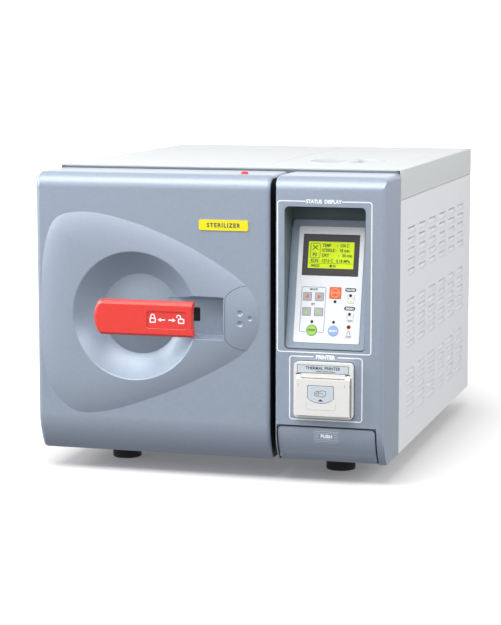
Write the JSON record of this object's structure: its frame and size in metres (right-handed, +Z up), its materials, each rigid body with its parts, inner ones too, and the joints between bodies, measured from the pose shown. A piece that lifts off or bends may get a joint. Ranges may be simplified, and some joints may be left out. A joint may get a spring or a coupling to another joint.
{
  "type": "benchtop autoclave",
  "caption": "Benchtop steam sterilizer with a side-hinged door, sliding lock handle, leaning display panel, panel printer, service flap and louvred cabinet.",
  "frame": {"origin": "on the bench, under the middle of the machine's box", "axes": "+Z up, +X to the right seen from the front, -Y out of the front of the door"},
  "size_m": [0.48, 0.674, 0.412],
  "materials": {
    "housing_blue": "satin moulded plastic with a fine metallic paint",
    "housing_dark": "satin moulded plastic",
    "cabinet_white": "semi-gloss powder coat",
    "handle_red": "satin gloss moulded plastic",
    "badge_yellow": "printed foil plate",
    "frame_steel": "zinc plated sheet steel",
    "stainless": "brushed stainless steel",
    "rubber_black": "matt black rubber",
    "silicone_seal": "matt translucent silicone",
    "black_plastic": "matt black plastic",
    "membrane_white": "printed polyester membrane",
    "lcd_green": "backlit display behind a clear window",
    "key_grey": "printed key pad",
    "key_orange": "printed key pad",
    "key_green": "printed key pad",
    "key_blue": "printed key pad",
    "cream_plastic": "fine textured moulded plastic",
    "paper_white": "thermal paper",
    "tank_plastic": "translucent blow moulded plastic",
    "insulation": "woven glass fibre blanket",
    "pump_grey": "painted cast housing",
    "copper": "bare copper and aluminium fins",
    "brass_parts": "machined brass",
    "board_green": "solder-masked circuit board",
    "knob_blue": "moulded plastic",
    "knob_grey": "moulded plastic",
    "switch_red": "translucent rocker"
  },
  "bodies": {
    "cabinet": {"base_pan": "frame_steel", "feet": "rubber_black", "front_frame": "frame_steel", "left_side_panel": "cabinet_white", "right_side_panel": "cabinet_white", "top_cover": "cabinet_white", "rear_panel": "cabinet_white", "cover_screws": "stainless", "control_housing": "housing_blue", "display_panel": "housing_dark", "membrane_overlay": "membrane_white", "display_module": "board_green", "display_window": "lcd_green", "indicator_leds": "black_plastic", "printer_frame": "cream_plastic", "print_mechanism": "black_plastic", "chamber": "stainless", "insulation_jacket": "insulation", "steam_generator": "stainless", "vacuum_pump": "pump_grey", "clean_water_tank": "tank_plastic", "waste_water_tank": "tank_plastic", "condenser": "copper", "fan_frame": "black_plastic", "solenoid_valves": "brass_parts", "control_board": "board_green", "power_supply": "frame_steel", "rear_fittings": "brass_parts", "mains_inlet": "black_plastic", "hinge_brackets": "frame_steel"},
    "tank_lid": {"tank_lid": "cabinet_white"},
    "filler_cap": {"filler_cap": "cabinet_white"},
    "key_left": {"key_left": "key_grey"},
    "key_right": {"key_right": "key_grey"},
    "key_up": {"key_up": "key_grey"},
    "key_down": {"key_down": "key_grey"},
    "key_stop": {"key_stop": "key_orange"},
    "key_start": {"key_start": "key_green"},
    "key_select": {"key_select": "key_blue"},
    "printer_lid": {"printer_lid": "cream_plastic"},
    "platen_roller": {"platen_roller": "rubber_black"},
    "paper_roll": {"paper_roll": "paper_white"},
    "service_flap": {"service_flap": "housing_blue"},
    "power_switch": {"power_switch": "switch_red"},
    "clean_drain_knob": {"clean_drain_knob": "knob_blue"},
    "waste_drain_knob": {"waste_drain_knob": "knob_grey"},
    "fan_rotor": {"fan_rotor": "black_plastic"},
    "tray_rack": {"tray_rack": "stainless"},
    "upper_tray": {"upper_tray": "stainless"},
    "lower_tray": {"lower_tray": "stainless"},
    "door": {"door_cover": "housing_blue", "door_plate": "frame_steel", "pressure_disc": "stainless", "door_gasket": "silicone_seal", "hinge_leaves": "frame_steel", "thumb_plate": "housing_blue", "name_badge": "badge_yellow"},
    "handle": {"handle": "handle_red", "lock_slider": "frame_steel"},
    "release_button": {"release_button": "handle_red"}
  },
  "joints": [
    {"name": "door_hinge", "type": "hinge", "parent": "cabinet", "child": "door", "pos_m": [-0.232, -0.242, 0.22], "axis": [0, 0, -1], "range_deg": [0, 110]},
    {"name": "handle_slide", "type": "slide", "parent": "door", "child": "handle", "axis": [1, 0, 0], "range_m": [-0.012, 0.035]},
    {"name": "release_press", "type": "slide", "parent": "door", "child": "release_button", "axis": [0, 0, -1], "range_m": [0, 0.002], "stiffness_N_per_m": 300, "springref_m": -0.001},
    {"name": "tank_lid_lift", "type": "slide", "parent": "cabinet", "child": "tank_lid", "axis": [0, 0, 1], "range_m": [0, 0.08]},
    {"name": "filler_cap_twist", "type": "hinge", "parent": "tank_lid", "child": "filler_cap", "pos_m": [0.126, -0.0485, 0.405], "axis": [0, 0, 1], "range_deg": [0, 90]},
    {"name": "printer_lid_hinge", "type": "hinge", "parent": "cabinet", "child": "printer_lid", "pos_m": [0.1605, -0.331, 0.148], "axis": [-1, 0, 0], "range_deg": [0, 85]},
    {"name": "paper_roll_spin", "type": "hinge", "parent": "cabinet", "child": "paper_roll", "pos_m": [0.158, -0.3, 0.118], "axis": [1, 0, 0], "continuous": true},
    {"name": "platen_spin", "type": "hinge", "parent": "cabinet", "child": "platen_roller", "pos_m": [0.1605, -0.322, 0.142], "axis": [1, 0, 0], "continuous": true},
    {"name": "service_flap_hinge", "type": "hinge", "parent": "cabinet", "child": "service_flap", "pos_m": [0.1625, -0.299, 0.036], "axis": [1, 0, 0], "range_deg": [0, 90]},
    {"name": "power_switch_rock", "type": "hinge", "parent": "cabinet", "child": "power_switch", "pos_m": [0.2005, -0.253, 0.057], "axis": [1, 0, 0], "range_deg": [0, 16]},
    {"name": "clean_drain_turn", "type": "hinge", "parent": "cabinet", "child": "clean_drain_knob", "pos_m": [0.125, -0.255, 0.057], "axis": [0, -1, 0], "range_deg": [0, 90]},
    {"name": "waste_drain_turn", "type": "hinge", "parent": "cabinet", "child": "waste_drain_knob", "pos_m": [0.16, -0.255, 0.057], "axis": [0, -1, 0], "range_deg": [0, 90]},
    {"name": "fan_spin", "type": "hinge", "parent": "cabinet", "child": "fan_rotor", "pos_m": [0.15, 0.307, 0.16], "axis": [0, 1, 0], "continuous": true},
    {"name": "tray_rack_slide", "type": "slide", "parent": "cabinet", "child": "tray_rack", "axis": [0, -1, 0], "range_m": [0, 0.012]},
    {"name": "upper_tray_slide", "type": "slide", "parent": "tray_rack", "child": "upper_tray", "axis": [0, -1, 0], "range_m": [0, 0.012]},
    {"name": "lower_tray_slide", "type": "slide", "parent": "tray_rack", "child": "lower_tray", "axis": [0, -1, 0], "range_m": [0, 0.012]},
    {"name": "key_left_press", "type": "slide", "parent": "cabinet", "child": "key_left", "axis": [0, 0.9744, -0.225], "range_m": [0, 0.0004], "stiffness_N_per_m": 500, "springref_m": -0.0002},
    {"name": "key_right_press", "type": "slide", "parent": "cabinet", "child": "key_right", "axis": [0, 0.9744, -0.225], "range_m": [0, 0.0004], "stiffness_N_per_m": 500, "springref_m": -0.0002},
    {"name": "key_up_press", "type": "slide", "parent": "cabinet", "child": "key_up", "axis": [0, 0.9744, -0.225], "range_m": [0, 0.0004], "stiffness_N_per_m": 500, "springref_m": -0.0002},
    {"name": "key_down_press", "type": "slide", "parent": "cabinet", "child": "key_down", "axis": [0, 0.9744, -0.225], "range_m": [0, 0.0004], "stiffness_N_per_m": 500, "springref_m": -0.0002},
    {"name": "key_stop_press", "type": "slide", "parent": "cabinet", "child": "key_stop", "axis": [0, 0.9744, -0.225], "range_m": [0, 0.0004], "stiffness_N_per_m": 500, "springref_m": -0.0002},
    {"name": "key_start_press", "type": "slide", "parent": "cabinet", "child": "key_start", "axis": [0, 0.9744, -0.225], "range_m": [0, 0.0004], "stiffness_N_per_m": 500, "springref_m": -0.0002},
    {"name": "key_select_press", "type": "slide", "parent": "cabinet", "child": "key_select", "axis": [0, 0.9744, -0.225], "range_m": [0, 0.0004], "stiffness_N_per_m": 500, "springref_m": -0.0002}
  ],
  "couplings": [
    {"joint": "platen_spin", "follows": "paper_roll_spin", "ratio": -4.75}
  ]
}
